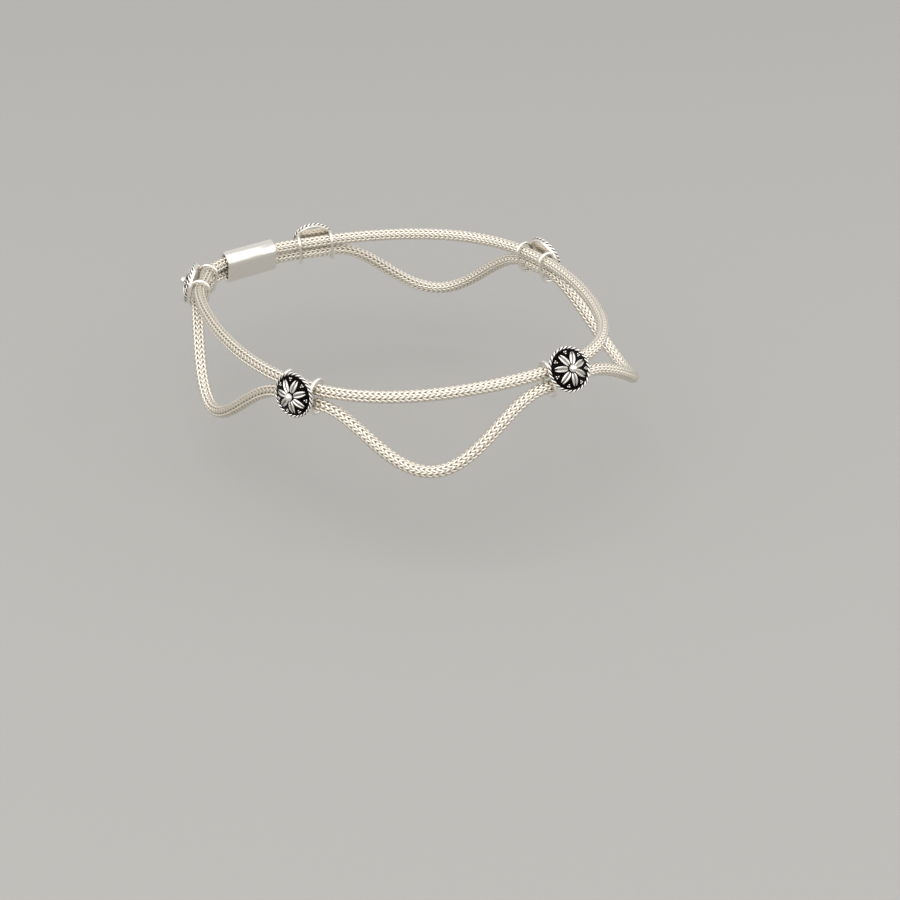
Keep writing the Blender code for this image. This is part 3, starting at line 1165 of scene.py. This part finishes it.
@dataclass
class Clasp:
    """A plain bar at the hidden back, with a pocket in each end for both chains."""

    layout: Layout
    wall: float = 0.7 * MM
    edge: float = 0.32 * MM
    edge_steps: int = 5
    round_steps: int = 24
    # crests of each pocket's inner wall: darker deep in the pocket, lighter at its mouth
    pocket_crest: float = 0.1
    mouth_crest: float = 0.45

    def profile(self) -> list[tuple[float, float, float]]:
        """Draws the bar's section, from one pocket to the other.

        Returns:
            Place along the bar, distance from the chains' centrelines and crest of each point.
        """
        half = self.layout.clasp_length / 2
        mouth = half - self.edge
        pocket = self.layout.chain_diameter / 2 + self.layout.socket_clearance
        middle = pocket + self.wall / 2
        side = [(half - self.layout.socket_depth, pocket, self.pocket_crest), (mouth, pocket, self.mouth_crest)]
        for step in range(self.edge_steps + 1):
            angle = math.pi * step / self.edge_steps
            side.append((mouth + self.edge * math.sin(angle), middle - self.wall / 2 * math.cos(angle), 1.0))
        return side + [(-along, radius, crest) for along, radius, crest in reversed(side)]

    def build(self, silver: Material) -> None:
        """Makes the clasp.

        Args:
            silver: Its finish.
        """
        drop, steps = self.layout.chain_drop, self.round_steps
        profile = self.profile()
        rings = np.array([round_both(drop, steps, radius, along) for along, radius, _ in profile])
        crest = np.array([[wear] for _, _, wear in profile])
        shape = Shape.loft(rings, False, crest, Finish.PLAIN)
        seat = self.layout.frame(self.layout.clasp_place, self.layout.clasp_length / 2)
        mesh = mesh_of("plain_clasp", [shape.moved(seat)])
        mesh.polygons.foreach_set("material_index", [0] * len(mesh.polygons))
        mesh.materials.append(silver)
        place_piece("plain_clasp", mesh, "clasp")


@dataclass(frozen=True)
class Softbox:
    """A square soft light that faces the anklet."""

    name: str
    azimuth: float  # degrees round from the camera
    elevation: float  # degrees above the horizon
    width: float  # metres
    power: float  # watts


@dataclass
class Studio:
    """A pale floor, soft lights and the camera that took the reference view."""

    floor_level: float = -32 * MM
    floor_size: float = 6.0
    floor_colour: str = "#A5A39F"
    floor_roughness: float = 0.8
    room_colour: str = "#E8E8E8"
    room_strength: float = 0.95
    softboxes: tuple[Softbox, ...] = (
        Softbox("key", -55, 45, 1.0, 3.2),
        Softbox("top", 20, 80, 0.7, 1.1),
        Softbox("front", 15, 40, 1.1, 1.5),
        Softbox("side", 85, 22, 0.9, 2.2),
    )
    light_distance: float = 0.8
    azimuth: float = -62.7
    elevation: float = 30.66
    roll: float = -0.2
    distance: float = 370.24 * MM
    nearest: float = 10 * MM
    target: tuple[float, float, float] = (0.0, -1.33 * MM, 0.0)
    image: float = 900.0
    focal: float = 1888.2
    target_pixel: tuple[float, float] = (399.5, 307.8)
    sensor: float = 36.0

    @staticmethod
    def direction(azimuth: float, elevation: float) -> Vector:
        """Unit vector from the middle outwards; an azimuth of 0 degrees is -Y, and 90 is +X."""
        turn, rise = math.radians(azimuth), math.radians(elevation)
        return Vector((math.sin(turn) * math.cos(rise), -math.cos(turn) * math.cos(rise), math.sin(rise)))

    def floor(self) -> None:
        """A plain matt floor below the anklet."""
        colour = linear(self.floor_colour)
        dress = MaterialTree("matt_card", Base_Color=colour, Roughness=self.floor_roughness)
        half = self.floor_size / 2
        corners = [(-half, -half), (half, -half), (half, half), (-half, half)]
        mesh = bpy.data.meshes.new("floor")
        mesh.from_pydata([(x, y, self.floor_level) for x, y in corners], [], [(0, 1, 2, 3)])
        mesh.materials.append(dress.material)
        floor = new_object("floor", mesh)

    def lights(self) -> None:
        """A key light above left, three fills, and a pale room."""
        for box in self.softboxes:
            lamp = bpy.data.lights.new(box.name, "AREA")
            lamp.size = box.width
            lamp.energy = box.power
            light = new_object(box.name, lamp)
            back = self.direction(self.azimuth + box.azimuth, box.elevation)
            light.location = back * self.light_distance
            light.rotation_euler = back.to_track_quat("Z", "Y").to_euler()
        world = bpy.data.worlds.new("pale_room")
        bpy.context.scene.world = world
        world.use_nodes = True
        background = world.node_tree.nodes["Background"]
        background.inputs["Color"].default_value = linear(self.room_colour)
        background.inputs["Strength"].default_value = self.room_strength

    def camera(self) -> None:
        """The camera, at the reference view's angle, distance and framing."""
        data = bpy.data.cameras.new("camera")
        data.sensor_width = self.sensor
        data.lens = self.focal / self.image * self.sensor
        data.shift_x = 0.5 - self.target_pixel[0] / self.image
        data.shift_y = self.target_pixel[1] / self.image - 0.5
        data.clip_start = self.nearest
        camera = new_object("camera", data)
        back = self.direction(self.azimuth, self.elevation)
        right = Vector((math.cos(math.radians(self.azimuth)), math.sin(math.radians(self.azimuth)), 0))
        up = back.cross(right)
        turn = math.radians(self.roll)
        right, up = right * math.cos(turn) + up * math.sin(turn), up * math.cos(turn) - right * math.sin(turn)
        place = Vector(self.target) + back * self.distance
        camera.matrix_world = Matrix.LocRotScale(place, Matrix((right, up, back)).transposed(), None)
        bpy.context.scene.camera = camera


def main() -> None:
    """Builds the anklet, piece by piece, and its studio."""
    logging.basicConfig(level=logging.INFO, format="%(name)s: %(message)s")
    bpy.context.scene.view_settings.view_transform = "Standard"
    studio = Studio()
    studio.camera()
    studio.floor()
    studio.lights()
    layout = Layout(AnkleLoop())
    knitted = KNITTED_SILVER.make()
    for strand in Strand:
        KnittedChain(layout, strand).build(knitted)
    finishes = {
        Finish.GROUND: BlackenedSilver().make(),
        Finish.RELIEF: BURNISHED_RELIEF.make(),
        Finish.PLAIN: PlainSilver().make(),
    }
    Medallion(layout).build(finishes)
    Clasp(layout).build(finishes[Finish.PLAIN])


if __name__ == "__main__":
    main()
